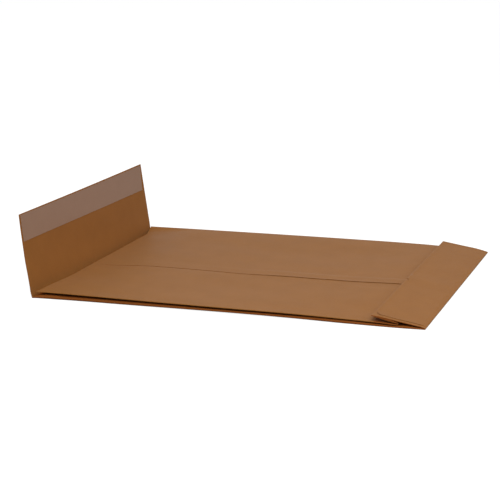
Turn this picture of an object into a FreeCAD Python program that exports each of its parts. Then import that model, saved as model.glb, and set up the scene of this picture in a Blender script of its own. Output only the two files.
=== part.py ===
"""Gusseted kraft envelope with a block bottom and a peel-and-seal flap, lying on its front panel.

One folded sheet makes the envelope: front panel, back panel with a lengthwise glued seam, a
gusset folded in at each side, a block bottom folded flat over the back panel, and the flap.
A band of adhesive runs along the flap's free edge under a release liner.

The origin is the centre of the front panel's outer face. +X runs from the throat to the end
fold, +Y across the envelope and +Z up through the layers. All lengths are in millimetres.
"""
import FreeCAD, Part
import math
import os
import Sketcher

# name, value, meaning
SIZES = [
    ("pocket_length", 324, "hinge of the flap to the end fold"),
    ("pocket_width", 229, "side fold to side fold"),
    ("gusset_width", 40, "side gusset opened flat, which is also the depth of the block bottom"),
    ("paper", 0.2, "thickness of the kraft sheet"),
    ("tight_fold", 0.6, "outer height of a pressed fold"),
    ("soft_fold", 2.1, "outer height of the front panel's side folds, which stay round"),
    ("soft_fold_end", 0.8, "the same side folds at the nose of the block bottom"),
    ("pinch_length", 9, "run over which the hinge pinches the side folds flat"),
    ("throat_setback", 6.8, "hinge to the cut edge of the back panel"),
    ("throat_rise", 6.5, "top of the back panel's side folds at the throat"),
    ("throat_crown", 5.3, "top of the back panel's middle at the throat"),
    ("shoulder_run", 64, "nose back to the line where the back panel starts to drop"),
    ("shoulder_rise", 4.4, "top of the side folds on that line"),
    ("shoulder_crown", 5.0, "top of the back panel's middle on that line"),
    ("sag_width", 42, "side fold to where the back panel levels out"),
    ("crease_rise", 2.7, "underside of the gusset's centre crease at the throat"),
    ("seam_offset", 14.5, "middle of the envelope to the seam's upper cut edge"),
    ("seam_overlap", 12, "width of the glued seam"),
    ("seam_joggle", 3, "run over which the upper layer comes down beside the seam"),
    ("nose_rise", 1.2, "underside of the back panel at the nose of the block bottom"),
    ("nose_fold", 0.8, "outer height of the nose fold"),
    ("nose_drape", 1.6, "run over which the corner triangle comes down past the nose"),
    ("bottom_rise", 7.0, "underside of the block bottom's free fold"),
    ("free_fold", 1.0, "outer height of the block bottom's free fold"),
    ("end_fold", 0.8, "outer height of the end fold"),
    ("cover_inset", 5.7, "side fold to the side edge of the cover glued on the block bottom"),
    ("cover_setback", 3.5, "free fold to the cover's cut edge"),
    ("cover_corner", 7, "corner radius of the cover"),
    ("cover_lead", 3, "run over which the cover rises out of the end fold"),
    ("hinge_fold", 1.0, "outer radius of the flap's hinge"),
    ("flap_height", 68.8, "height of the flap's free edge"),
    ("knee_gap", 6, "lower edge of the liner down to the slight bend in the flap"),
    ("knee_reach", 5.4, "how far that bend leans out past the hinge"),
    ("flap_reach", 8.2, "how far the free edge leans out past the hinge"),
    ("flap_taper", 1.2, "how far each side of the flap runs in at the free edge"),
    ("liner_width", 22.5, "release liner, measured up the flap"),
    ("liner_margin", 0.7, "flap's free edge to the liner"),
    ("liner_inset", 1.9, "flap's widest side to the liner's end"),
    ("liner_paper", 0.1, "thickness of the liner"),
    ("glue_width", 17, "adhesive band, measured up the flap"),
    ("glue_inset", 4, "liner's end to the adhesive's end"),
    ("glue_film", 0.1, "thickness of the adhesive"),
]


class Size:
    """A length together with the expression that gives it from the sheet."""

    def __init__(self, value, text):
        self.value = value
        self.text = text

    def joined(self, sign, other, value):
        return Size(value, f"({self.text} {sign} {other.text})")

    def __add__(self, other):
        other = as_size(other)
        return self.joined("+", other, self.value + other.value)

    def __sub__(self, other):
        other = as_size(other)
        return self.joined("-", other, self.value - other.value)

    def __mul__(self, other):
        other = as_size(other)
        return self.joined("*", other, self.value * other.value)

    def __truediv__(self, other):
        other = as_size(other)
        return self.joined("/", other, self.value / other.value)

    def __neg__(self):
        return self * -1


def as_size(number):
    return number if isinstance(number, Size) else Size(float(number), f"{number:g}")


def write_sheet(document):
    sheet = document.addObject("Spreadsheet::Sheet", "Sizes")
    for row, (name, value, meaning) in enumerate(SIZES, start=1):
        sheet.set(f"A{row}", meaning)
        sheet.set(f"B{row}", str(value))
        sheet.setAlias(f"B{row}", name)
    document.recompute()
    return {name: Size(float(sheet.get(name)), f"Sizes.{name}") for name, value, meaning in SIZES}


# Points round a half turn: how far out as a share of its radius, how far up as a share of its height.
HALF_TURN = [(0.707107, 0.146447), (1, 0.5), (0.707107, 0.853553)]


def between(low, high, share):
    return low + (high - low) * share


# ---- sketches ------------------------------------------------------------------------------

def new_sketch(body, name, plane, offset):
    """A sketch on an origin plane of the body, moved along the plane's normal by a Size."""
    sketch = body.newObject("Sketcher::SketchObject", name)
    support = next(item for item in body.Origin.OriginFeatures if item.Role == plane)
    sketch.AttachmentSupport = [(support, "")]
    sketch.MapMode = "FlatFace"
    sketch.AttachmentOffset = FreeCAD.Placement(FreeCAD.Vector(0, 0, offset.value), FreeCAD.Rotation())
    sketch.setExpression("AttachmentOffset.Base.z", offset.text)
    return sketch


def turn(start, end, centre, clockwise):
    """Arc about a centre. FreeCAD's arcs run anticlockwise, so a clockwise one is stored end first."""
    if clockwise:
        start, end = end, start
    first = math.atan2(start[1] - centre[1], start[0] - centre[0])
    last = math.atan2(end[1] - centre[1], end[0] - centre[0])
    radius = math.hypot(start[0] - centre[0], start[1] - centre[1])
    circle = Part.Circle(FreeCAD.Vector(*centre, 0), FreeCAD.Vector(0, 0, 1), radius)
    return Part.ArcOfCircle(circle, first, last if last > first else last + 2 * math.pi)


def pin_down(sketch, geometry, point, place):
    """Fixes a point of the sketch at a pair of Sizes from the origin."""
    for kind, size in zip(("DistanceX", "DistanceY"), place):
        if size is not None:
            index = sketch.addConstraint(Sketcher.Constraint(kind, -1, 1, geometry, point, size.value))
            sketch.setExpression(f"Constraints[{index}]", size.text)


def creased(corners):
    """The same corners with each half turn made of straight runs, as a pressed fold has."""
    plain = []
    for index, corner in enumerate(corners):
        plain.append(corner[:2])
        if len(corner) == 3:
            start, end = corner[1], corners[index + 1][1]
            reach = (start - end if corner[2] == "cw" else end - start) / 2
            plain += [(corner[0] + reach * out, between(start, end, up)) for out, up in HALF_TURN]
    return plain


def outline(sketch, corners):
    """Closed outline through the corners, which are (across, up) pairs of Sizes.

    A corner with a third entry, "cw" or "ccw", starts a half turn to the next corner, which is
    straight above or below it. With a fourth entry, the arc's centre, it is that arc instead.
    """
    first = sketch.GeometryCount
    count = len(corners)
    places = [corner[:2] for corner in corners]
    for index, corner in enumerate(corners):
        start = [size.value for size in places[index]]
        end = [size.value for size in places[(index + 1) % count]]
        if len(corner) == 2:
            edge = Part.LineSegment(FreeCAD.Vector(*start, 0), FreeCAD.Vector(*end, 0))
        else:
            middle = (start[0], (start[1] + end[1]) / 2)
            centre = [size.value for size in corner[3]] if len(corner) == 4 else middle
            edge = turn(start, end, centre, corner[2] == "cw")
        sketch.addGeometry(edge, False)
    for index, corner in enumerate(corners):
        backwards = len(corner) > 2 and corner[2] == "cw"
        start_point, end_point = (2, 1) if backwards else (1, 2)
        follower = (index + 1) % count
        next_start = 2 if len(corners[follower]) > 2 and corners[follower][2] == "cw" else 1
        joint = Sketcher.Constraint("Coincident", first + index, end_point, first + follower, next_start)
        sketch.addConstraint(joint)
        pin_down(sketch, first + index, start_point, places[index])
        if len(corner) > 2:
            pin_down(sketch, first + index, 3, (corner[3][0] if len(corner) == 4 else corner[0], None))


# ---- features ------------------------------------------------------------------------------

def ruled_loft(body, name, sketches):
    loft = body.newObject("PartDesign::AdditiveLoft", name)
    loft.Profile = (sketches[0], [""])
    loft.Sections = [(sketch, [""]) for sketch in sketches[1:]]
    loft.Ruled = True
    loft.Refine = False
    body.Document.recompute()
    return loft


def pad(body, name, sketch, length):
    """Pad of the sketch to both sides of its plane."""
    feature = body.newObject("PartDesign::Pad", name)
    feature.Profile = (sketch, [""])
    feature.Midplane = True
    feature.Length = length.value
    feature.setExpression("Length", length.text)
    feature.Refine = False
    body.Document.recompute()
    return feature


def mirror_across(body, name, features):
    """Copies features from the near side of the envelope to the far side."""
    feature = body.newObject("PartDesign::Mirrored", name)
    feature.Originals = features
    plane = next(item for item in body.Origin.OriginFeatures if item.Role == "XZ_Plane")
    feature.MirrorPlane = (plane, [""])
    feature.Refine = False
    body.Tip = feature
    body.Document.recompute()
    return feature


def new_body(document, name):
    body = document.addObject("PartDesign::Body", name)
    body.Label = name
    body.AllowCompound = True
    return body


def cut_through(body, name, sketch, forward):
    """Cuts the sketch through all that lies on one side of its plane."""
    before = body.Tip.Shape.Volume
    feature = body.newObject("PartDesign::Pocket", name)
    feature.Profile = (sketch, [""])
    feature.Type = "ThroughAll"
    feature.Reversed = forward
    feature.Refine = False
    body.Document.recompute()
    if feature.Shape.Volume >= before:
        raise RuntimeError(f"{name} cuts nothing")
    return feature


document = FreeCAD.newDocument("gusseted_envelope")
size = write_sheet(document)

paper = size["paper"]
near_side = -size["pocket_width"] / 2
far_side = size["pocket_width"] / 2
gusset_depth = size["gusset_width"] / 2
hinge_place = -size["pocket_length"] / 2
end_place = size["pocket_length"] / 2
nose_place = end_place - gusset_depth
free_place = end_place - size["gusset_width"]
plate_edge = near_side + size["soft_fold"]
zero = as_size(0)

# The hinge is a quarter round. The nose, free and end folds are half rounds, set out from the
# line below or above the middle of each round.
hinge_start = hinge_place + size["hinge_fold"]
nose_centre = nose_place - size["nose_fold"] / 2
free_centre = free_place + size["free_fold"] / 2
end_centre = end_place - size["end_fold"] / 2
nose_top = size["nose_rise"] + size["nose_fold"]
free_top = size["bottom_rise"] + size["free_fold"]

# At the nose the gusset's upper layer lies pressed under the back panel, and where the bottom's
# corner creases run out the gusset is only as deep as the fold is.
nose_crease = size["nose_rise"] + paper - size["tight_fold"]
corner_depth = size["end_fold"]
corner_crease = size["end_fold"] - paper


def crease_rise(along):
    """Underside of the gusset's centre crease, straight from the throat to the nose."""
    return between(size["crease_rise"], nose_crease, (along - hinge_start) / (nose_centre - hinge_start))


def corner_share(along):
    return (along - nose_centre) / (end_centre - nose_centre)


def bottom_top(along):
    """Top of the block bottom, straight from the free fold down to the end fold."""
    return between(free_top, size["end_fold"], (along - free_centre) / (end_centre - free_centre))


# ---- front panel ---------------------------------------------------------------------------

def fold_section(body, name, along, fold, depth, crease):
    """The front panel's near side fold, with the gusset's lower layer turned in above it."""
    middle = near_side + fold / 2
    sketch = new_sketch(body, name, "YZ_Plane", along)
    outline(sketch, creased([
        (plate_edge, zero),
        (middle, zero, "cw"),
        (middle, fold),
        (near_side + depth, crease + paper),
        (near_side + depth, crease),
        (middle, fold - paper, "ccw"),
        (middle, paper),
        (plate_edge, paper),
    ]))
    return sketch


def add_front_panel(body):
    sketch = new_sketch(body, "front_profile", "XZ_Plane", zero)
    corners = [(hinge_start, zero), (end_centre, zero), (end_centre, paper), (hinge_start, paper)]
    outline(sketch, corners)
    pad(body, "front_panel", sketch, plate_edge * -2)

    pinch_place = hinge_start + size["pinch_length"]
    stations = [
        ("hinge", hinge_start, size["tight_fold"], gusset_depth, crease_rise(hinge_start)),
        ("pinch", pinch_place, size["soft_fold"], gusset_depth, crease_rise(pinch_place)),
        ("nose", nose_centre, size["soft_fold_end"], gusset_depth, crease_rise(nose_centre)),
        ("end", end_centre, size["end_fold"], corner_depth, corner_crease),
    ]
    sketches = [fold_section(body, f"fold_at_{name}", *rest) for name, *rest in stations]
    side_fold = ruled_loft(body, "side_fold", sketches)
    return mirror_across(body, "far_side_fold", [side_fold])


# ---- back panel ----------------------------------------------------------------------------

def back_section(body, name, along, rise, crown):
    """Back panel with its glued seam, and the gussets' upper layers turned in below it."""
    fold = size["tight_fold"]
    near_round, far_round = near_side + fold / 2, far_side - fold / 2
    near_level, far_level = near_side + size["sag_width"], far_side - size["sag_width"]
    crease = crease_rise(along)
    upper_edge = -size["seam_offset"]
    lower_edge = upper_edge + size["seam_overlap"]
    joggle_end = lower_edge + size["seam_joggle"]
    sketch = new_sketch(body, name, "YZ_Plane", along)
    outline(sketch, creased([
        (near_round, rise),
        (near_level, crown),
        (upper_edge, crown),
        (upper_edge, crown + paper),
        (lower_edge, crown + paper),
        (joggle_end, crown),
        (far_level, crown),
        (far_round, rise, "cw"),
        (far_round, rise - fold),
        (far_side - gusset_depth, crease),
        (far_side - gusset_depth, crease + paper),
        (far_round, rise - fold + paper, "ccw"),
        (far_round, rise - paper),
        (far_level, crown - paper),
        (joggle_end, crown - paper),
        (lower_edge, crown),
        (lower_edge, crown - paper),
        (near_level, crown - paper),
        (near_round, rise - paper, "ccw"),
        (near_round, rise - fold + paper),
        (near_side + gusset_depth, crease + paper),
        (near_side + gusset_depth, crease),
        (near_round, rise - fold, "cw"),
        (near_round, rise),
    ])[:-1])
    return sketch


def add_back_panel(body):
    flat_rise = size["nose_rise"] + paper
    stations = [
        ("throat", hinge_place + size["throat_setback"], size["throat_rise"], size["throat_crown"]),
        ("shoulder", nose_centre - size["shoulder_run"], size["shoulder_rise"], size["shoulder_crown"]),
        ("nose", nose_centre, flat_rise, flat_rise),
    ]
    sketches = [back_section(body, f"back_at_{name}", *rest) for name, *rest in stations]
    return ruled_loft(body, "back_panel", sketches)


# ---- block bottom --------------------------------------------------------------------------

def add_bottom_fold(body):
    """From the nose back up to the free fold, and over it down to the end fold."""
    sketch = new_sketch(body, "bottom_profile", "XZ_Plane", zero)
    outline(sketch, [
        (nose_centre, size["nose_rise"], "ccw"),
        (nose_centre, nose_top),
        (free_centre, size["bottom_rise"] + paper, "cw"),
        (free_centre, free_top - paper),
        (end_centre, size["end_fold"] - paper, "cw"),
        (end_centre, paper),
        (end_centre, zero, "ccw"),
        (end_centre, size["end_fold"]),
        (free_centre, free_top, "ccw"),
        (free_centre, size["bottom_rise"]),
        (nose_centre, nose_top - paper, "cw"),
        (nose_centre, size["nose_rise"] + paper),
    ])
    return pad(body, "bottom_fold", sketch, size["pocket_width"])


def add_cover(body):
    """The front panel's own extension, glued over the block bottom."""
    lead_place = end_centre - size["cover_lead"]
    cut_place = free_place + size["cover_setback"]
    sketch = new_sketch(body, "cover_profile", "XZ_Plane", zero)
    outline(sketch, [
        (end_centre, size["end_fold"] - paper / 2),
        (end_centre, size["end_fold"]),
        (lead_place, bottom_top(lead_place) + paper),
        (cut_place, bottom_top(cut_place) + paper),
        (cut_place, bottom_top(cut_place) - paper / 2),
    ])
    pad(body, "cover", sketch, size["pocket_width"] - size["cover_inset"] * 2)
    radius = size["cover_corner"]
    planform = new_sketch(body, "cover_planform", "XY_Plane", zero)
    for side, inset, way in ((near_side, size["cover_inset"], "ccw"), (far_side, -size["cover_inset"], "cw")):
        outward = radius if side is far_side else -radius
        edge = side + inset
        outline(planform, [
            (cut_place, edge - outward, way, (cut_place + radius, edge - outward)),
            (cut_place + radius, edge),
            (cut_place + radius, edge + outward),
            (cut_place - radius, edge + outward),
            (cut_place - radius, edge - outward),
        ])
    return cut_through(body, "cover_corners", planform, True)


def turned_in(body, name, along, outer, inner, depth, thickness):
    """Section of a gusset layer from the near side fold, where it starts at outer, in to inner."""
    sketch = new_sketch(body, name, "YZ_Plane", along)
    outline(sketch, [
        (near_side, outer),
        (near_side + depth, inner),
        (near_side + depth, inner + thickness),
        (near_side, outer + thickness),
    ])
    return sketch


def add_gusset_corners(body):
    """The gusset's ends, folded in on the nose crease and the two corner creases."""
    # The layer that turns back over the nose lies on the strip that it came with.
    rises = [nose_top - paper / 2, size["bottom_rise"] + paper / 2]
    places = [("nose", nose_centre, rises[0], gusset_depth), ("free", free_centre, rises[1], corner_depth)]
    sketches = [
        turned_in(body, f"strip_at_{name}", along, rise, rise, depth, paper * 1.5)
        for name, along, rise, depth in places
    ]
    strip_layer = ruled_loft(body, "strip_layer", sketches)

    # Both layers of the gusset turn round the nose together.
    sketch = new_sketch(body, "nose_profile", "XZ_Plane", (near_side + gusset_depth / 2) * -1)
    outline(sketch, [(nose_centre, nose_crease, "ccw"), (nose_centre, nose_top + paper)])
    nose_round = pad(body, "nose_round", sketch, gusset_depth)

    # The corner triangle hangs from the block bottom's side fold, comes over the nose and meets
    # the gusset's lower layer on the way down to the end fold.
    drape_place = nose_centre + size["nose_drape"]
    share = corner_share(drape_place)
    places = [
        ("free", free_centre, size["bottom_rise"] + paper, corner_depth),
        ("nose", nose_centre, nose_top, gusset_depth),
        ("drape", drape_place, between(nose_crease, corner_crease, share),
         between(gusset_depth, corner_depth, share)),
        ("end", end_centre, corner_crease, corner_depth),
    ]
    sketches = [
        turned_in(body, f"corner_at_{name}", along, bottom_top(along) - paper, rise, depth, paper)
        for name, along, rise, depth in places
    ]
    corner = ruled_loft(body, "corner_triangle", sketches)
    return mirror_across(body, "far_corner", [strip_layer, nose_round, corner])


# ---- flap ----------------------------------------------------------------------------------

knee_height = size["flap_height"] - size["liner_margin"] - size["liner_width"] - size["knee_gap"]


def flap_face(up):
    """Outer face of the flap above its bend, as a place along the envelope."""
    share = (up - knee_height) / (size["flap_height"] - knee_height)
    return hinge_place - between(size["knee_reach"], size["flap_reach"], share)


def add_flap(body):
    round_centre = (hinge_start, size["hinge_fold"])
    knee_place = flap_face(knee_height)
    free_edge = flap_face(size["flap_height"])
    sketch = new_sketch(body, "flap_profile", "XZ_Plane", zero)
    outline(sketch, [
        (hinge_start, zero, "cw", round_centre),
        (hinge_place, size["hinge_fold"]),
        (knee_place, knee_height),
        (free_edge, size["flap_height"]),
        (free_edge + paper, size["flap_height"]),
        (knee_place + paper, knee_height),
        (hinge_place + paper, size["hinge_fold"], "ccw", round_centre),
        (hinge_start, paper),
    ])
    return pad(body, "flap", sketch, size["pocket_width"])


def add_flap_taper(body):
    """Cuts the flap's sides in towards its free edge."""
    sketch = new_sketch(body, "flap_sides", "YZ_Plane", hinge_start)
    past_edge = size["flap_height"] * 1.1
    for side, way in ((near_side, 1), (far_side, -1)):
        inward = size["flap_taper"] * way
        outline(sketch, [
            (side, size["hinge_fold"]),
            (side + inward, size["flap_height"]),
            (side + inward, past_edge),
            (side - inward, past_edge),
            (side - inward, size["hinge_fold"]),
        ])
    return cut_through(body, "flap_taper", sketch, False)


# ---- seal ----------------------------------------------------------------------------------

def add_band(name, start, thickness, low, high, length):
    """A flat band on the flap's inner face, start away from it and running from low to high."""
    body = new_body(document, name)
    sketch = new_sketch(body, f"{name}_profile", "XZ_Plane", zero)
    inner_low, inner_high = flap_face(low) + paper + start, flap_face(high) + paper + start
    outline(sketch, [
        (inner_low, low),
        (inner_low + thickness, low),
        (inner_high + thickness, high),
        (inner_high, high),
    ])
    pad(body, f"{name}_pad", sketch, length)
    return body


def build_envelope():
    body = new_body(document, "envelope_body")
    add_cover(body)
    add_bottom_fold(body)
    add_back_panel(body)
    add_front_panel(body)
    add_gusset_corners(body)
    add_flap(body)
    add_flap_taper(body)
    return body


def build_seal():
    liner_high = size["flap_height"] - size["liner_margin"]
    liner_low = liner_high - size["liner_width"]
    liner_length = size["pocket_width"] - size["liner_inset"] * 2
    glue_edge = (size["liner_width"] - size["glue_width"]) / 2
    film = size["glue_film"]
    glue_length = liner_length - size["glue_inset"] * 2
    return [
        add_band("adhesive_band", zero, film, liner_low + glue_edge, liner_high - glue_edge, glue_length),
        add_band("release_liner", film, size["liner_paper"], liner_low, liner_high, liner_length),
    ]


parts = [build_envelope()] + build_seal()
document.recompute()
for item in document.Objects:
    if "Invalid" in item.State or "Error" in item.State:
        raise RuntimeError(f"{item.Label} failed")
for part in parts:
    if part.Shape.isNull() or not part.Shape.isValid():
        raise RuntimeError(f"{part.Label} has no valid shape")

os.makedirs("parts", exist_ok=True)
for part in parts:
    part.Shape.exportStep(f"parts/{part.Label}.step")
    print(part.Label, len(part.Shape.Solids), round(part.Shape.Volume, 1), part.Shape.BoundBox)
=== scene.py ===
"""Kraft gusseted envelope lying on its front panel, with the peel-and-seal flap raised.

Lengths are in millimetres until a mesh is made: X along the envelope from the near end of the
flap's hinge, Y across it from its near side, Z up from the floor. Every sheet is a grid of
points through the middle of the paper, and Paper.add_sheet gives it its thickness.
"""

import math

import bpy
import numpy as np
from mathutils import Matrix, Vector


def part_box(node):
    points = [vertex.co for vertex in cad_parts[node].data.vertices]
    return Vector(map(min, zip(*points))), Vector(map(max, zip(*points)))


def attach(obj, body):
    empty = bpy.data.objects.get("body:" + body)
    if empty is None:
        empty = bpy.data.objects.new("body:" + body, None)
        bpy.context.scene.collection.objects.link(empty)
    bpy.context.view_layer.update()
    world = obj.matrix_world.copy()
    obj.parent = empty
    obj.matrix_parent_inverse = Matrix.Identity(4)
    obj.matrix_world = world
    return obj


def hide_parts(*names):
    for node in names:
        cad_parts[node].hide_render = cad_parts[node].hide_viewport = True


# The envelope.
LENGTH = 324.0  # flap's hinge to the end fold
WIDTH = 229.0  # side fold to side fold
GUSSET = 20.0  # how far in each side gusset is folded
NOSE = LENGTH - GUSSET - 1.7  # fold where the back panel turns up into the block bottom
PAPER = 0.2
BED = PAPER / 2 + 0.02  # middle of the front panel's paper where it lies on the floor
EDGE = 0.12  # side of the envelope to the middle of the paper in a side fold
SIDE_INSET = 0.7  # how far the front panel's near side fold is pushed in at the most
END_EDGE = 0.45  # end of the envelope to where the end fold starts
END_REACH = 0.33  # how far the end fold stands out from there
LAYER_EDGE = 0.5  # end of the envelope to the cut edges of the layers that reach it
END_LIFT = 0.35  # how far the end of the front panel stands off the floor
END_SKEW = 0.45  # how much shorter the envelope is at its near side

# The throat, the seam and the flap.
THROAT = 4.9  # hinge to the back panel's cut edge
SEAM = 99.0  # near side to the cut edge of the seam's upper layer
OVERLAP = 12.0  # width of the glued seam
STEP = 3.0  # SEAM to the seam's edge where it shows through the block bottom
HINGE = 0.3  # hinge to where the front panel's own grid starts
HINGE_ROUND = 0.55
HINGE_SKEW = 1.85  # how much further along the hinge's far end is
FLAP = 68.4  # height of the flap's free edge at its near end
FLAP_FALL = 2.5  # how much lower the free edge's far end is
FLAP_SAG = 0.5  # how much lower its middle is than a straight line between them
FLAP_BOW = 0.8  # how far the flap's middle bows back
FLAP_TAPER = 0.9  # how far each side of the flap runs in at the free edge
FILM = 0.05  # thickness of the adhesive
LINER = 0.08  # thickness of the release liner

# The block bottom's free fold, and distances between the middles of layers.
FREE = 282.6  # hinge to the free fold at the near side
FREE_SKEW = 1.4  # how much further along the free fold's far end is
FREE_ROUND = 0.4  # free fold to where its turn starts
FREE_REACH = 0.38  # how far the free fold stands out from there
FREE_RISE = 0.45  # strip up to the block bottom at the free fold
WRAP_REACH = 0.55  # how far the gusset's layers stand out round the nose
NOSE_RISE = 1.1  # back panel up to the strip at the nose
STRIP_LAYER = 0.26  # strip up to the gusset's layer that lies on it
CORNER_RISE = 0.5  # strip up to the corner triangle's inner edge
GUSSET_LAYER = 0.3  # lower layer of the gusset up to the upper one
BACK_LAYER = 0.4  # upper layer of the gusset up to the back panel, at the least
FRONT_LAYER = 0.75  # lower layer of the gusset up to the back panel, at the least
PRESSED = 0.34  # height of a fold that is pressed flat
LEAST_DEPTH = 0.03  # share of its depth that a folded-in layer keeps where it runs out


# ---- curves ------------------------------------------------------------------------------

def smooth(t):
    """0 up to t = 0, 1 from t = 1 on, and an even change between."""
    t = np.clip(t, 0, 1)
    return t * t * (3 - 2 * t)


def through(x, points):
    """Smooth curve through a few (place, value) points, level beyond them."""
    places, values = np.array(points, float).T
    slopes = np.gradient(values, places)
    x = np.clip(x, places[0], places[-1])
    i = np.clip(np.searchsorted(places, x) - 1, 0, len(places) - 2)
    step = places[i + 1] - places[i]
    t = (x - places[i]) / step
    ends = values[i] * (1 + 2 * t) * (1 - t) ** 2 + values[i + 1] * t * t * (3 - 2 * t)
    return ends + slopes[i] * step * t * (1 - t) ** 2 - slopes[i + 1] * step * t * t * (1 - t)


def ripple(x, y, size, turn):
    """Slow waves of the paper, between about -1 and 1."""
    a, b = x * math.cos(turn) + y * math.sin(turn), y * math.cos(turn) - x * math.sin(turn)
    waves = np.sin(a / size + 1.3) + 0.7 * np.sin(b / size * 1.37 + 0.4)
    return (waves + 0.5 * np.sin((a + b) / size * 2.1)) / 2.2


# ---- heights and edges of the sheets -----------------------------------------------------

def hinge_line(y):
    """How far along the hinge is, next to its near end."""
    return HINGE_SKEW * y / WIDTH


def throat_line(y):
    """Cut edge of the back panel, nearer to the hinge at its two ends."""
    near_end = 0.7 * (1 - smooth(y / 9))
    far_end = 3.4 * smooth((y - 208) / 19)
    return THROAT - near_end + 0.5 * smooth(y / 190) - far_end


def back_height(x, y):
    """Middle of the back panel's paper, which sags between its side folds."""
    near = through(x, [
        (0, 5.8), (10, 5.85), (60, 5.65), (95, 5.3), (163, 4.9), (227, 4.6), (259, 4.0),
        (281, 3.5), (290, 3.2), (303, 2.45),
    ])
    far = through(x, [
        (0, 6.0), (60, 5.9), (130, 5.8), (200, 5.5), (255, 5.0), (280, 4.35), (303, 2.5),
    ])
    middle = through(x, [(0, 4.6), (100, 4.7), (150, 4.1), (235, 4.2), (278, 4.3), (303, 2.45)])
    from_near = near + (middle - near) * smooth(y / 70)
    from_far = far + (middle - far) * smooth((WIDTH - y) / 60)
    height = np.where(y < WIDTH / 2, from_near, from_far)
    mouth = through(y, [
        (0, 5.9), (12, 5.8), (25, 5.35), (37, 4.75), (50, 4.1), (64, 3.75), (90, 3.5),
        (115, 3.15), (154, 2.85), (190, 2.6), (206, 2.4), (216, 2.6), (222, 3.1), (226, 4.3),
        (229, 5.8),
    ])
    height = height + (mouth - height) * smooth((58 - x) / 52)
    calm = smooth(y / 14) * smooth((WIDTH - y) / 14) * smooth((NOSE - x) / 40)
    return height + 0.2 * calm * ripple(x, y, 17, 0.5)


def bottom_arch(x):
    """How far the front panel's side folds stand off the floor."""
    return np.maximum(0, through(x, [
        (0, 0), (8, 0), (34, 0.15), (75, 0.25), (120, 0.6), (163, 0.85), (195, 0.8), (227, 0.5),
        (259, 0), (285, 0), (303, 0), (324, 0),
    ]))


def front_height(x, y):
    """Middle of the front panel's paper."""
    reach = 60
    near, far = 1 - smooth(y / reach), 0.6 * (1 - smooth((WIDTH - y) / reach))
    return BED + bottom_arch(x) * (near + far) + END_LIFT * smooth((x - 306) / 18)


def crease_height(x):
    """Middle of the gusset's lower layer at the crease, which is furthest in."""
    return through(x, [
        (0, 0.9), (10, 2.3), (60, 2.9), (150, 2.7), (250, 2.3), (304, 1.5), (324, 1.1),
    ])


def fold_height(x):
    """Middle of the upper layer where the front panel's side fold has turned over."""
    return through(x, [
        (0, 0.5), (3, 1.8), (9, 2.7), (30, 2.75), (50, 2.85), (100, 2.7), (163, 2.5),
        (227, 2.4), (266, 2.15), (290, 1.4), (299, 1.25), (307, 1.7), (312, 1.6), (324, 1.05),
    ])


def gusset_depth(x):
    """How far in the gusset's crease is, which runs out to the side along the block bottom."""
    return GUSSET * np.clip((LENGTH - x) / GUSSET, LEAST_DEPTH, 1)


def free_line(y):
    """Place of the block bottom's free fold."""
    return FREE + FREE_SKEW * y / WIDTH


def bottom_height(x, y):
    """Middle of the block bottom's upper sheet, from its free fold to the end fold."""
    near = through(x, [
        (282, 8.5), (285, 8.2), (292.5, 7.2), (300, 5.9), (307.5, 4.65), (316.5, 3.2),
        (322, 2.1), (324, 1.25),
    ])
    far = through(x, [(284, 8.75), (300, 6.1), (316, 3.45), (321, 2.25), (324, 1.4)])
    share = smooth(y / WIDTH)
    along = np.clip((x - 283) / 41, 0, 1)
    bow = 0.25 * np.sin(math.pi * y / WIDTH) * np.sin(math.pi * along)
    waves = 0.06 * ripple(x, y, 9, 0.2) * smooth((322 - x) / 10)
    return near + (far - near) * share - bow + waves


def strip_height(x, y):
    """Middle of the strip that runs from the nose back up to the free fold."""
    share = np.clip((x - free_line(y)) / (NOSE - free_line(y)), 0, 1)
    top = bottom_height(free_line(y) + FREE_ROUND, y) - FREE_RISE
    low = back_height(NOSE, y) + NOSE_RISE
    sag = 0.42 * np.sin(math.pi * share) * smooth(share / 0.7)
    return top + (low - top) * share - sag


def corner_depth(x, y):
    """Depth of the corner triangle, which is deepest at the nose."""
    start = free_line(y)
    rising = (x - start) / (NOSE - start)
    falling = (LENGTH - x) / (LENGTH - NOSE)
    return GUSSET * np.clip(np.minimum(rising, falling), LEAST_DEPTH, 1)


def flush(x):
    """1 at the mouth, where the seam's edge is pressed flat, and 0 from 21 mm on."""
    return 1 - smooth((x - 17) / 4)


def seam_dip(x, y):
    """How far the lower sheet sinks under the seam, most of all at the mouth."""
    depth = 0.2 - 0.012 * smooth((x - 14) / 6) - 0.148 * smooth((x - 95) / 110)
    return depth * smooth((y - SEAM + 4 - 3 * flush(x)) / 4)


def seam_step(y):
    """How far the seam's upper layer lifts the block bottom's sheet."""
    over = y - SEAM - STEP
    return 0.26 * float(smooth(over / 0.15) * smooth((OVERLAP + STEP - over) / STEP))


# ---- sections, as lists of points --------------------------------------------------------

def half_turn(start, end, steps):
    """Side fold in (y, z), from one height to another and standing out to EDGE."""
    radius = abs(end - start) / 2
    turns = np.linspace(0, math.pi, steps)
    return [
        (EDGE + radius * (1 - math.sin(t)), (start + end) / 2 - (end - start) / 2 * math.cos(t))
        for t in turns
    ]


def cross_fold(x, reach, start, end, steps):
    """Fold across the envelope in (x, z), from one height to another and out by reach."""
    turns = np.linspace(0, math.pi, steps)
    return [
        (x + reach * math.sin(t), (start + end) / 2 + (start - end) / 2 * math.cos(t))
        for t in turns
    ]


def between(start, end, steps):
    """Points from one (y, z) point towards another, which is left out."""
    return [tuple(np.array(start) + (np.array(end) - start) * k / steps) for k in range(steps)]


def facing(section):
    """The same section at the far side."""
    return [(WIDTH - y, z) for y, z in section]


def below_back(layer, x, side, gap):
    """A layer folded in from a side, lowered to stay at least a gap below the back panel."""
    return [(y, min(z, float(back_height(x, abs(side - y))) - gap)) for y, z in layer]


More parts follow.
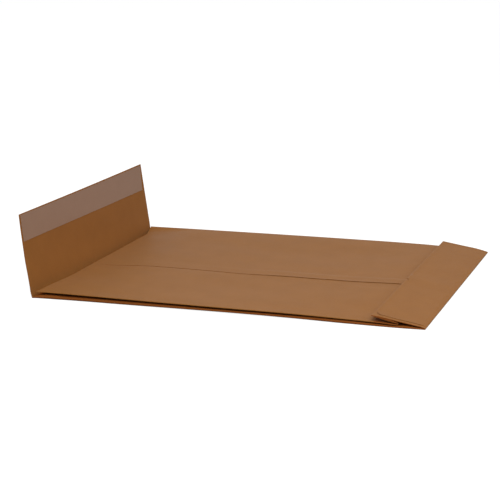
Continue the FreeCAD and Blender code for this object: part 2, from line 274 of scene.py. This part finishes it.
def front_half(x, side):
    """From the crease, out along the gusset's lower layer and round the side fold."""
    turn = half_turn(float(fold_height(x)), float(front_height(x, side)), 9)
    layer = between((float(gusset_depth(x)), float(crease_height(x))), turn[0], 10)
    return below_back(layer, x, side, FRONT_LAYER) + turn


def front_section(x):
    """The front panel with the gusset's lower layer at each side."""
    inset = SIDE_INSET * float(smooth((x - 4) / 40) * smooth((290 - x) / 70))
    near = [(y + inset * max(0, 1 - y / 10), z) for y, z in front_half(x, 0)]
    far = facing(front_half(x, WIDTH))
    ys = np.linspace(near[-1][0], far[-1][0], 40)[1:-1]
    return near + [(y, float(front_height(x, y))) for y in ys] + far[::-1]


def back_half(x, side):
    """From the crease, out along the gusset's upper layer and round the back panel's fold."""
    top, crease = float(back_height(x, side)), float(crease_height(x))
    turn = half_turn(max(top - 0.42, crease + 0.1), top, 7)
    layer = between((float(gusset_depth(x)), crease + GUSSET_LAYER), turn[0], 10)
    return below_back(layer, x, side, BACK_LAYER) + turn


def near_back_section(x):
    """The near gusset's upper layer and the back panel, to its edge under the seam."""
    side = back_half(x, 0.0)
    edge = side[-1][0]
    ys = edge + (SEAM + OVERLAP - edge) * np.linspace(0, 1, 44)[1:] ** 1.2
    return side + [(y, float(back_height(x, y)) - float(seam_dip(x, y))) for y in ys]


def far_back_section(x):
    """The same from the far side, over the near sheet's free edge at the seam."""
    side = facing(back_half(x, WIDTH))
    edge = side[-1][0]
    drift = through(x, [
        (16, -1.5), (45, -1.5), (65, -0.3), (110, 0), (140, -0.7), (190, -0.7), (235, -0.8),
        (262, 0.4), (285, 1.5),
    ])
    start = SEAM + float(drift) + 0.4 * math.sin(x / 23) + 0.25 * math.sin(x / 9 + 1)
    glued = start + OVERLAP
    places = [0, 0.6, 2, 6, 12, 13, 14.5, 16]
    lifts = [0.42, 0.3, 0.24, 0.24, 0.24, 0.2, 0.05, 0.0]
    dip = float(seam_dip(x, SEAM))
    rise = (1 - 4 * dip) * (1 - 0.9 * float(flush(x)))
    rise *= 1 + 0.35 * float(smooth((x - 125) / 50))
    panel = [
        (start + y, float(back_height(x, start + y)) + lift * rise)
        for y, lift in zip(places, lifts)
    ]
    ys = edge - (edge - glued - 4) * np.linspace(1, 0, 46)[1:-1] ** 1.2
    return panel + [(y, float(back_height(x, y))) for y in ys] + side[::-1]


def strip_side(x, y):
    """From the strip's side round to the gusset layer that lies on it."""
    low = float(strip_height(x, y))
    depth = float(GUSSET * np.clip((x - free_line(y)) / (NOSE - free_line(y)), 0.04, 1))
    room = float(bottom_height(x, y)) - low - 0.6
    puff = float(smooth((302 - x) / 5) * smooth((x - free_line(y)) / 2))
    turn = half_turn(low, low + PRESSED + (max(room, PRESSED) - PRESSED) * puff, 9)
    inner = (depth, low + STRIP_LAYER)
    return turn + between(turn[-1], inner, 6)[1:] + [inner]


def corner_side(x, y):
    """From the block bottom's side fold down and in along the corner triangle."""
    top = float(bottom_height(x, y))
    depth = float(corner_depth(x, y))
    if x < NOSE:
        inner = min(float(strip_height(x, y)) + CORNER_RISE, top - 0.15)
    else:
        down = smooth((x - NOSE) / 4)
        at_nose, at_end = strip_height(NOSE, y) + CORNER_RISE, fold_height(x) + GUSSET_LAYER
        inner = float(at_nose * (1 - down) + at_end * down)
    turn = half_turn(top, top - min(PRESSED, max(0.22, top - inner)), 7)
    return turn + between(turn[-1], (depth, inner), 8)[1:] + [(depth, inner)]


# ---- grids of points ---------------------------------------------------------------------

def stack(xs, section):
    """A grid from the sections at some places along the envelope."""
    return np.array([[(x, y, z) for y, z in section(x)] for x in xs])


def at_far_side(grid, axis):
    """A near side's sheet mirrored to the far side, with an axis turned so it still faces out."""
    grid = np.flip(grid, axis).copy()
    grid[:, :, 1] = WIDTH - grid[:, :, 1]
    return grid


def front_grid():
    """The front panel and the gussets' lower layers."""
    xs = HINGE + (LENGTH - END_EDGE - HINGE) * np.linspace(0, 1, 120) ** 1.05
    grid = stack(xs, front_section)
    grid[:, :, 0] += hinge_line(grid[:, :, 1]) * smooth((40 - grid[:, :, 0]) / 40)
    return grid


def back_grid(section):
    """One side of the back panel, cut along the throat's line."""
    grid = stack(THROAT + (NOSE - THROAT) * np.linspace(0, 1, 110) ** 1.1, section)
    ahead = smooth((44 - grid[:, :, 0]) / (44 - THROAT))
    waves = 0.3 * np.sin(grid[:, :, 1] / 29)
    grid[:, :, 0] += ahead * (throat_line(grid[:, :, 1]) - THROAT + waves)
    return grid


def bottom_rows():
    """Places across the block bottom, close together where the seam lifts it."""
    first, step = EDGE + 0.17, SEAM + STEP
    return np.concatenate([
        np.linspace(first, step - 5, 34),
        step + np.array([-3, -1, -0.04, 0, 0.15, 0.19, 1]),
        np.linspace(step + 3, WIDTH - first, 42),
    ])


def bottom_grid():
    """Round the nose, up the strip, over the free fold and down to the end fold."""
    lines = []
    for y in bottom_rows():
        low, up = float(back_height(NOSE, y)), float(strip_height(NOSE, y))
        nose = cross_fold(NOSE, (up - low) / 2, low, up, 7)
        start = float(free_line(y)) + FREE_ROUND
        xs = NOSE + (start - NOSE) * np.linspace(0, 1, 15)[1:]
        strip = [(x, float(strip_height(x, y))) for x in xs]
        above = float(bottom_height(start, y))
        fold = cross_fold(start, -FREE_REACH, strip[-1][1], above, 9)[1:-1]
        xs = start + (LENGTH - END_EDGE - start) * np.linspace(0, 1, 34)
        top = [(x, float(bottom_height(x, y)) + seam_step(y)) for x in xs]
        end = cross_fold(xs[-1], END_REACH, top[-1][1], END_LIFT + PAPER / 2, 8)[1:]
        lines.append([(x, y, z) for x, z in nose + strip + fold + top + end])
    return np.array(lines).transpose(1, 0, 2)


def seam_edge():
    """Cut edge of the seam's upper layer where it shows between the free fold and the cover."""
    xs = free_line(SEAM) + np.linspace(0.3, 3.6, 12)
    line = [(x, SEAM + STEP - 0.1, float(bottom_height(x, SEAM + STEP))) for x in xs]
    return np.array([[(x, y, z + up) for x, y, z in line] for up in (-0.05, 0.1, 0.25, 0.42)])


def nose_wrap():
    """The near gusset's two layers going round the nose together."""
    lines = []
    for y in np.linspace(EDGE, EDGE + GUSSET - 1, 8):
        low = float(back_height(NOSE, y)) - BACK_LAYER
        up = float(strip_height(NOSE, y)) + STRIP_LAYER
        lines.append([(x, y, z) for x, z in cross_fold(NOSE, WRAP_REACH, low, up, 9)])
    return np.array(lines).transpose(1, 0, 2)


def cover_grid():
    """The front panel's extension, glued over the block bottom, with its two round corners."""
    inset, setback, radius, reach = 3.8, 2.5, 5.0, 36
    corner_steps = np.linspace(0, 1, 9)[:-1] ** 1.6 * radius
    shares = (1 - np.cos(np.linspace(0, math.pi, 44))) / 2
    columns = []
    for step in np.concatenate([corner_steps, np.linspace(radius, reach, 24)]):
        cut = radius - math.sqrt(radius ** 2 - max(radius - step, 0) ** 2)
        first, last = inset + cut, WIDTH - inset - cut
        column = []
        for y in first + (last - first) * shares:
            start = free_line(y) + setback
            x = start + step * (LENGTH - LAYER_EDGE - start) / reach
            rim = min(y - first, last - y, step) if step < reach - 2 else 9
            corner = math.exp(-(step ** 2 + (y - first) ** 2) / 20)
            lift = PAPER + seam_step(y) * 0.9 + 0.16 * math.exp(-rim / 1.2) + 0.3 * corner
            lift *= float(smooth((LENGTH + 1.5 - x) / 5))
            column.append((x, y, float(bottom_height(x, y)) + lift))
        columns.append(column)
    return np.array(columns)


def flap_point(up, across):
    """Middle of the flap's paper.

    up runs from 0 at the hinge to 1 at the free edge, and across from 0 to 1.
    """
    foot = BED + HINGE_ROUND
    middle = np.sin(math.pi * across)
    top = FLAP - FLAP_FALL * across - FLAP_SAG * middle
    z = foot + (top - foot) * up
    near = through(z, [
        (0.65, -0.5), (4, -1.3), (9, -1.85), (16, -2.7), (30, -4.65), (45, -6.1), (60, -7.4),
        (68.6, -8.0),
    ])
    far = through(z, [(0.65, 1.3), (5, 1.3), (20, -0.2), (45, -3.0), (66, -5.3)])
    inward = FLAP_TAPER * up
    y = inward + EDGE + (WIDTH - 2 * inward - 2 * EDGE) * across
    free = smooth(up * 3) * (1 - 0.4 * up)
    wave = 0.2 * ripple(y, z, 21, 0.7) * smooth(across * 12) * smooth((1 - across) * 12)
    bow = free * (wave - FLAP_BOW * middle)
    return np.array([near + (far - near) * across + bow, y, z])


def flap_grid():
    """From under the hinge, round it and up the flap."""
    acrosses = np.linspace(0, 1, 80)
    foot = np.array([flap_point(0.0, across) for across in acrosses])
    rows = [foot + [HINGE_ROUND + HINGE, 0, -HINGE_ROUND]]
    for t in np.linspace(0, math.pi / 2, 7)[:-1]:
        rows.append(foot + [HINGE_ROUND * (1 - math.sin(t)), 0, -HINGE_ROUND * math.cos(t)])
    for up in np.linspace(0, 1, 44):
        rows.append(np.array([flap_point(up, across) for across in acrosses]))
    return np.array(rows)


def on_flap(low, high, near, far, off, curl):
    """A band on the flap's inner face, off away from the middle of the paper.

    low and high are its edges as shares of the flap's height, and near and far its ends'
    distances from the flap's sides, each given at its two ends. Its lower edge and its near
    end stand up by curl.
    """
    rows, columns, nudge = 15, 80, 0.01
    grid = np.zeros((rows, columns, 3))
    for i, rise in enumerate(np.linspace(0, 1, rows)):
        first = (near[0] + (near[1] - near[0]) * rise) / WIDTH
        last = 1 - (far[0] + (far[1] - far[0]) * rise) / WIDTH
        for j, across in enumerate(np.linspace(first, last, columns)):
            bottom = low[0] + (low[1] - low[0]) * across
            top = high[0] + (high[1] - high[0]) * across
            up = bottom + (top - bottom) * rise
            here = flap_point(up, across)
            along = flap_point(up + nudge, across) - here
            side = flap_point(up, across + nudge) - here
            normal = np.cross(side, along)
            normal /= np.linalg.norm(normal)
            rim = curl * (math.exp(-i / 1.1) + 0.5 * math.exp(-j / 2))
            grid[i, j] = here + normal * (off + rim)
    return grid


def skewed(grid):
    """The sheet with its end a little out of square, shorter at the near side."""
    x, y = grid[:, :, 0], grid[:, :, 1]
    shift = -END_SKEW * (1 - y / WIDTH) * smooth((x - 300) / 24)
    return grid + np.stack([shift, 0 * y, 0 * y], axis=2)


# ---- meshes ------------------------------------------------------------------------------

# Finishes of the folded sheet, in the order of its materials. The last one is painted shade.
OUTER, INSIDE_PAINTED_LIGHT, CUT, PAINTED_SHADE = range(4)


def with_painted_shade(grid, first, last, covered=False):
    """Finishes of a sheet's outside, whose first and last columns are folded in and get painted
    shade.

    A covered sheet has the painted shade under the block bottom too, and just ahead of the free
    fold's near end the inside's lighter finish, as painted light where the free fold's shade
    falls.
    """
    x, y = grid[:-1, :-1, 0], grid[:-1, :-1, 1]
    # Painted light: the inside's lighter kraft on the back panel just ahead of the free fold's
    # near end, where the free fold's shadow falls.
    ahead = free_line(y) - 3 * (1 - smooth((y - 8) / 6))
    finishes = np.where(covered & (x > ahead), INSIDE_PAINTED_LIGHT, OUTER)
    finishes[covered & (x > free_line(y))] = PAINTED_SHADE
    finishes[:, :first] = PAINTED_SHADE
    finishes[:, x.shape[1] - last:] = PAINTED_SHADE
    return finishes


def paper_length(grid, axis):
    """Distance along the paper from the grid's first row or column."""
    steps = np.linalg.norm(np.diff(grid, axis=axis), axis=2)
    far = np.cumsum(steps, axis=axis)
    return np.concatenate([np.zeros_like(np.take(far, [0], axis)), far], axis=axis)


def put_in_scene(name, data):
    """A new object in the scene for a mesh, a lamp or a camera."""
    made = bpy.data.objects.new(name, data)
    bpy.context.scene.collection.objects.link(made)
    return made


class Paper:
    """The faces of one piece, gathered sheet by sheet."""

    def __init__(self):
        self.points, self.flats, self.faces, self.finishes = [], [], [], []

    def add_side(self, grid, flat, finish):
        """Faces over a grid, with their places on the flat paper."""
        first = len(self.points)
        rows, columns = grid.shape[:2]
        finishes = np.broadcast_to(finish, (rows - 1, columns - 1)).ravel()
        self.finishes += [int(each) for each in finishes]
        self.points += [tuple(point) for point in grid.reshape(-1, 3)]
        self.flats += [tuple(point) for point in flat.reshape(-1, 2)]
        for i in range(rows - 1):
            for j in range(columns - 1):
                a = first + i * columns + j
                self.faces.append((a, a + columns, a + columns + 1, a + 1))

    def add_sheet(self, grid, upper=OUTER, lower=INSIDE_PAINTED_LIGHT, thickness=PAPER):
        """Both sides and the cut edges of a sheet, given a grid through its middle."""
        grid = skewed(grid)
        normal = np.cross(np.gradient(grid, axis=0), np.gradient(grid, axis=1))
        normal /= np.linalg.norm(normal, axis=2, keepdims=True)
        over, under = grid + normal * thickness / 2, grid - normal * thickness / 2
        flat = np.stack([paper_length(grid, 0), paper_length(grid, 1)], axis=2)
        self.add_side(over, flat, upper)
        self.add_side(under[:, ::-1], flat[:, ::-1], np.flip(np.atleast_2d(lower), axis=1))
        for rim in (np.s_[0, :], np.s_[-1, ::-1], np.s_[::-1, 0], np.s_[:, -1]):
            pair = np.stack([over[rim], under[rim]])
            self.add_side(pair, np.stack([flat[rim], flat[rim] + thickness]), CUT)

    def piece(self, name, finishes, node):
        """The piece that is shown in place of a CAD node."""
        mesh = bpy.data.meshes.new(name)
        mesh.from_pydata((np.array(self.points) + SHIFT) / 1000, [], self.faces)
        mesh.polygons.foreach_set("use_smooth", [True] * len(self.faces))
        mesh.polygons.foreach_set("material_index", self.finishes)
        layer = mesh.uv_layers.new(name="Flat")
        corners = np.array(self.flats)[np.array(self.faces).ravel()] / 1000
        layer.data.foreach_set("uv", corners.ravel())
        for finish in finishes:
            mesh.materials.append(finish)
        made = put_in_scene(name, mesh)
        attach(made, "root")
        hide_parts(node)
        return made


# ---- materials ---------------------------------------------------------------------------

class Nodes:
    """A node tree, with short ways to add to it."""

    def __init__(self, tree):
        self.tree = tree

    def add(self, kind, inputs=(), **settings):
        node = self.tree.nodes.new(kind)
        for key, value in settings.items():
            setattr(node, key, value)
        for key, value in dict(inputs).items():
            if isinstance(value, bpy.types.NodeSocket):
                self.tree.links.new(value, node.inputs[key])
            else:
                node.inputs[key].default_value = value
        return node

    def place(self, output, scale=(1, 1, 1)):
        """Coordinates stretched by a scale along each axis."""
        source = self.add("ShaderNodeTexCoord").outputs[output]
        return self.add("ShaderNodeMapping", {"Vector": source, "Scale": scale}).outputs["Vector"]

    def noise(self, where, scale, detail=3.0, rough=0.55):
        inputs = {"Vector": where, "Scale": scale, "Detail": detail, "Roughness": rough}
        return self.add("ShaderNodeTexNoise", inputs).outputs["Fac"]

    def spread(self, value, low, high, first=0.0, last=1.0):
        """A value carried from the range low to high over to the range first to last."""
        return self.add("ShaderNodeMapRange", {
            "Value": value, "From Min": low, "From Max": high, "To Min": first, "To Max": last,
        }).outputs["Result"]

    def sum(self, *values, operation="ADD"):
        total = values[0]
        for value in values[1:]:
            step = self.add("ShaderNodeMath", {0: total, 1: value}, operation=operation)
            total = step.outputs[0]
        return total

    def mix(self, share, first, second):
        """A colour between two, each an output or its red, green and blue."""
        inputs = {0: share}
        for key, colour in ((6, first), (7, second)):
            inputs[key] = (*colour, 1) if isinstance(colour, tuple) else colour
        return self.add("ShaderNodeMix", inputs, data_type="RGBA").outputs[2]

    def seen(self):
        """1 for rays that show a backdrop as it is, and 0 for those that carry its light."""
        ray = self.add("ShaderNodeLightPath").outputs
        kinds = ("Is Camera Ray", "Is Glossy Ray", "Is Transmission Ray")
        return self.sum(*(ray[kind] for kind in kinds), operation="MAXIMUM")


class Finish(Nodes):
    """A material and its node tree."""

    def __init__(self, name):
        self.material = bpy.data.materials.new(name)
        self.material.use_nodes = True
        super().__init__(self.material.node_tree)
        self.shader = self.tree.nodes["Principled BSDF"]
        self.shader.inputs["IOR"].default_value = 1.45

    def link(self, output, key):
        self.tree.links.new(output, self.shader.inputs[key])

    def bump(self, height, strength, distance):
        inputs = {"Height": height, "Strength": strength, "Distance": distance}
        self.link(self.add("ShaderNodeBump", inputs).outputs["Normal"], "Normal")


def kraft(name, light, dark, sheen, gloss, fleck=0.5):
    """Brown kraft paper: cloudy colour, fibres along the sheet, and a few dark specks."""
    n = Finish(name)
    flat = n.place("UV")
    clouds = n.noise(flat, scale=55, detail=4)
    fibres = n.noise(n.place("UV", (1, 7, 1)), scale=420, detail=3, rough=0.6)
    grain = n.noise(flat, scale=1900, detail=2)
    specks = n.spread(n.noise(flat, scale=760, detail=1), 0.70, 0.78, 0, fleck)
    tone = n.sum(
        n.spread(clouds, 0.3, 0.7, 0, 0.5), n.spread(fibres, 0.3, 0.7, -0.1, 0.45),
        n.spread(grain, 0.25, 0.75, -0.2, 0.3),
    )
    speck = tuple(0.45 * level for level in dark)
    n.link(n.mix(specks, n.mix(tone, dark, light), speck), "Base Color")
    n.link(n.spread(fibres, 0.25, 0.75, 0.55, 0.67), "Roughness")
    relief = n.sum(fibres, n.spread(grain, 0, 1, 0, 0.6), n.spread(clouds, 0, 1, 0, 1.4))
    n.bump(relief, strength=0.35, distance=0.0001)
    n.shader.inputs["Specular IOR Level"].default_value = gloss
    n.shader.inputs["Sheen Weight"].default_value = sheen
    n.shader.inputs["Sheen Roughness"].default_value = 0.5
    n.shader.inputs["Sheen Tint"].default_value = (1, 0.93, 0.82, 1)
    return n.material


def cut_edge():
    """Bare fibres of the kraft paper's cut edge."""
    n = Finish("kraft_edge")
    fibres = n.noise(n.place("Object"), scale=1500, detail=2)
    n.link(n.mix(fibres, (0.19, 0.064, 0.014), (0.30, 0.108, 0.026)), "Base Color")
    n.shader.inputs["Roughness"].default_value = 0.9
    n.shader.inputs["Specular IOR Level"].default_value = 0.2
    return n.material


def silicone_paper():
    """Satin paper of the release liner."""
    n = Finish("release_paper")
    clouds = n.noise(n.place("UV"), scale=70, detail=4)
    fine = n.noise(n.place("UV", (4, 1, 1)), scale=500, detail=2)
    n.link(n.mix(clouds, (0.290, 0.169, 0.109), (0.320, 0.190, 0.126)), "Base Color")
    n.link(n.spread(fine, 0.3, 0.7, 0.38, 0.5), "Roughness")
    n.bump(n.sum(fine, clouds), strength=0.15, distance=0.00006)
    n.shader.inputs["Specular IOR Level"].default_value = 0.12
    return n.material


def adhesive_film():
    """Tacky film with uneven gloss."""
    n = Finish("adhesive_film")
    blotches = n.noise(n.place("UV"), scale=160, detail=3)
    n.link(n.mix(blotches, (0.34, 0.20, 0.10), (0.42, 0.27, 0.15)), "Base Color")
    n.link(n.spread(blotches, 0.3, 0.7, 0.12, 0.28), "Roughness")
    n.bump(blotches, strength=0.3, distance=0.00008)
    return n.material


# ---- the three pieces --------------------------------------------------------------------

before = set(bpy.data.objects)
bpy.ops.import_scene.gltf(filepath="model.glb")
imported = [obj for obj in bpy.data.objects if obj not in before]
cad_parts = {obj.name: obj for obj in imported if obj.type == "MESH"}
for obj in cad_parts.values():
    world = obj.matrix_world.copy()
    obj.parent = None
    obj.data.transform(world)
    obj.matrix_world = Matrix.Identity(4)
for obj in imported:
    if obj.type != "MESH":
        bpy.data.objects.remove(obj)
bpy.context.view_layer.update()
SHIFT = np.array([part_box("envelope_body")[1][0] * 1000 - LENGTH, -WIDTH / 2, 0])

brown = kraft(
    "kraft_outside", light=(0.294, 0.114, 0.0200), dark=(0.249, 0.095, 0.0158),
    sheen=0.09, gloss=0.165,
)
# The paper's inside face, in a kraft painted lighter than the outside's and with less gloss and
# sheen: painted light for the light falling and bouncing onto the flap's inner face.
inside_painted_light = kraft(
    "kraft_inside_painted_light", light=(0.310, 0.116, 0.0225), dark=(0.263, 0.098, 0.0177),
    sheen=0.08, gloss=0.05, fleck=0.3,
)
# Painted shade: a darker, redder kraft with no sheen, for the folded-in layers, the folds next to
# them and the paper under the block bottom, where shade and light bounced between the brown
# layers fall.
painted_shade_kraft = kraft(
    "kraft_painted_shade", light=(0.290, 0.088, 0.0190), dark=(0.245, 0.074, 0.0150),
    sheen=0.0, gloss=0.03, fleck=0.3,
)
edge = cut_edge()

paper = Paper()
front, near, far = front_grid(), back_grid(near_back_section), back_grid(far_back_section)
# The gussets' layers and the folds next to them carry the painted shade.
paper.add_sheet(front, INSIDE_PAINTED_LIGHT, with_painted_shade(front, first=18, last=18))
paper.add_sheet(near, with_painted_shade(near, first=12, last=0, covered=True), INSIDE_PAINTED_LIGHT)
paper.add_sheet(far, with_painted_shade(far, first=0, last=12, covered=True), INSIDE_PAINTED_LIGHT)
for sheet in (flap_grid(), bottom_grid(), cover_grid()):
    paper.add_sheet(sheet, OUTER, INSIDE_PAINTED_LIGHT)
paper.add_sheet(seam_edge(), CUT, CUT, thickness=0.06)
for y in (EDGE, WIDTH - EDGE):
    start = float(free_line(y)) + 0.1
    layer = stack(np.linspace(start, NOSE, 26), lambda x: strip_side(x, y))
    corner = stack(np.linspace(start, LENGTH - LAYER_EDGE, 26), lambda x: corner_side(x, y))
    wrap = nose_wrap()
    if y > EDGE:
        layer, corner, wrap = at_far_side(layer, 0), at_far_side(corner, 0), at_far_side(wrap, 1)
    paper.add_sheet(layer, PAINTED_SHADE, PAINTED_SHADE)
    paper.add_sheet(corner, OUTER, PAINTED_SHADE)
    paper.add_sheet(wrap, PAINTED_SHADE, PAINTED_SHADE)
paper.piece("folded_sheet", [brown, inside_painted_light, edge, painted_shade_kraft], "envelope_body")

film = Paper()
band = on_flap(
    low=(0.700, 0.675), high=(0.958, 0.952), near=(6, 6), far=(8, 6), off=0.135, curl=0.0,
)
film.add_sheet(band, 0, 0, FILM)
film.piece("adhesive_film", [adhesive_film()], "adhesive_band")

strip = Paper()
band = on_flap(
    low=(0.668, 0.633), high=(0.987, 0.982), near=(2, 2), far=(4.8, 2.2), off=0.24, curl=0.05,
)
strip.add_sheet(band, 0, 0, LINER)
strip.piece("release_strip", [silicone_paper()], "release_liner")


# ---- studio, in metres -------------------------------------------------------------------

def floor():
    """A floor that the camera sees as white paper, still darker where the envelope shades it."""
    half, below = 9, 0.0001
    n = Finish("studio_floor")
    seen = n.seen()
    grain = n.noise(n.place("Object"), scale=9, detail=2)
    pale = n.mix(grain, (0.25, 0.25, 0.25), (0.27, 0.27, 0.27))
    n.link(n.mix(seen, pale, (0.25, 0.25, 0.25)), "Base Color")
    n.shader.inputs["Roughness"].default_value = 0.9
    n.shader.inputs["Specular IOR Level"].default_value = 0.1
    n.shader.inputs["Emission Color"].default_value = (1, 1, 1, 1)
    n.link(n.sum(seen, 0.9, operation="MULTIPLY"), "Emission Strength")
    mesh = bpy.data.meshes.new("floor")
    corners = [(-half, -half, 0), (half, -half, 0), (half, half, 0), (-half, half, 0)]
    mesh.from_pydata(corners, [], [(0, 1, 2, 3)])
    mesh.materials.append(n.material)
    made = put_in_scene("floor", mesh)
    made.location.z = -below


def softbox(name, place, aim, size, watts):
    """A square lamp aimed at a point."""
    lamp = bpy.data.lights.new(name, "AREA")
    lamp.shape, lamp.size, lamp.energy = "SQUARE", size, watts
    made = put_in_scene(name, lamp)
    made.location = place
    made.rotation_euler = (Vector(aim) - Vector(place)).to_track_quat("-Z", "Y").to_euler()


def surroundings(level):
    """Even light from all round, which the camera sees as white."""
    world = bpy.data.worlds.new("studio")
    world.use_nodes = True
    n = Nodes(world.node_tree)
    glow = n.tree.nodes["Background"]
    glow.inputs["Color"].default_value = (1, 1, 1, 1)
    n.tree.links.new(n.spread(n.seen(), 0, 1, level, 1), glow.inputs["Strength"])
    bpy.context.scene.world = world


def photo_camera(place, turn, rise, tip, focal):
    """The photograph's view: from the near right, turned, raised and tipped by these degrees."""
    turn, rise, tip = math.radians(turn), math.radians(rise), math.radians(tip)
    level = math.cos(rise)
    back = Vector((math.sin(turn) * level, -math.cos(turn) * level, math.sin(rise)))
    right = (-back).cross(Vector((0, 0, 1))).normalized()
    up = right.cross(-back)
    across = right * math.cos(tip) + up * math.sin(tip)
    upright = up * math.cos(tip) - right * math.sin(tip)
    lens = bpy.data.cameras.new("camera")
    lens.lens = focal
    lens.clip_start = 0.05
    made = put_in_scene("camera", lens)
    facing_it = Matrix((across, upright, back)).transposed().to_4x4()
    made.matrix_world = Matrix.Translation(place) @ facing_it
    bpy.context.scene.camera = made


floor()
surroundings(0.27)
softbox("overhead", place=(0.48, -0.68, 0.94), aim=(0, -0.03, 0), size=1.3, watts=16.4)
softbox("behind", place=(-0.9, 0.35, 0.42), aim=(-0.15, 0, 0.03), size=0.8, watts=1.9)
photo_camera(
    place=(0.39667, -1.09176, 0.32152), turn=20.738, rise=14.457, tip=-1.631, focal=103.3,
)
bpy.context.scene.view_settings.view_transform = "Standard"
